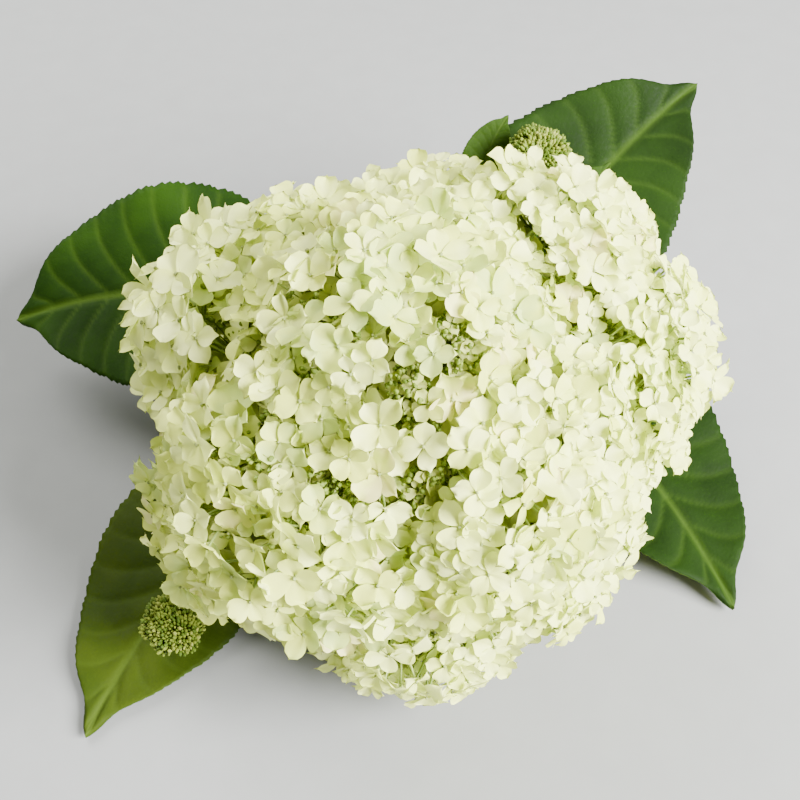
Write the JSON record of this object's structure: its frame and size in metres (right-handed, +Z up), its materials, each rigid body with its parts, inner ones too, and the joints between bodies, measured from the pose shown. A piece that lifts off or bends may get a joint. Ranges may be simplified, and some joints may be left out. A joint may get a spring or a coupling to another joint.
{
  "type": "cut flowering stem of smooth hydrangea with one large mophead bloom",
  "caption": "Cut stem of smooth hydrangea, lying down, with a large round white mophead bloom turned up, broad toothed leaves and small unopened green heads.",
  "frame": {"origin": "middle of the box's underside, on the level floor that the stem and the bloom's rim rest on", "axes": "+X to the right as the bloom is faced, +Y from the bloom towards the stem's cut end, +Z up; the bloom faces -Y and up at 45 degrees"},
  "size_m": [0.3451, 0.2662, 0.201],
  "materials": {
    "stem": "smooth green bark with fine ribs and pores",
    "sepal": "soft satin petal, white to cream and pale green",
    "leaf": "satin leaf with sunken veins",
    "bud": "matte green buds"
  },
  "bodies": {
    "root": {"main_stem": "stem", "bloom_crown_top": "sepal", "bloom_crown_left": "sepal", "bloom_crown_right": "sepal", "bloom_right": "sepal", "bloom_upper_right": "sepal", "bloom_top": "sepal", "bloom_upper_left": "sepal", "bloom_lower_left": "sepal", "bloom_bottom": "sepal", "bloom_lower_right": "sepal", "leaf_lower_left": "leaf", "leaf_upper_right": "leaf", "leaf_left": "leaf", "leaf_right": "leaf", "side_shoot_lower_left": "stem", "green_head_lower_left": "bud", "side_shoot_top": "stem", "green_head_top": "bud", "shoot_leaf_top_left": "leaf", "shoot_leaf_top_right": "leaf"}
  },
  "joints": []
}
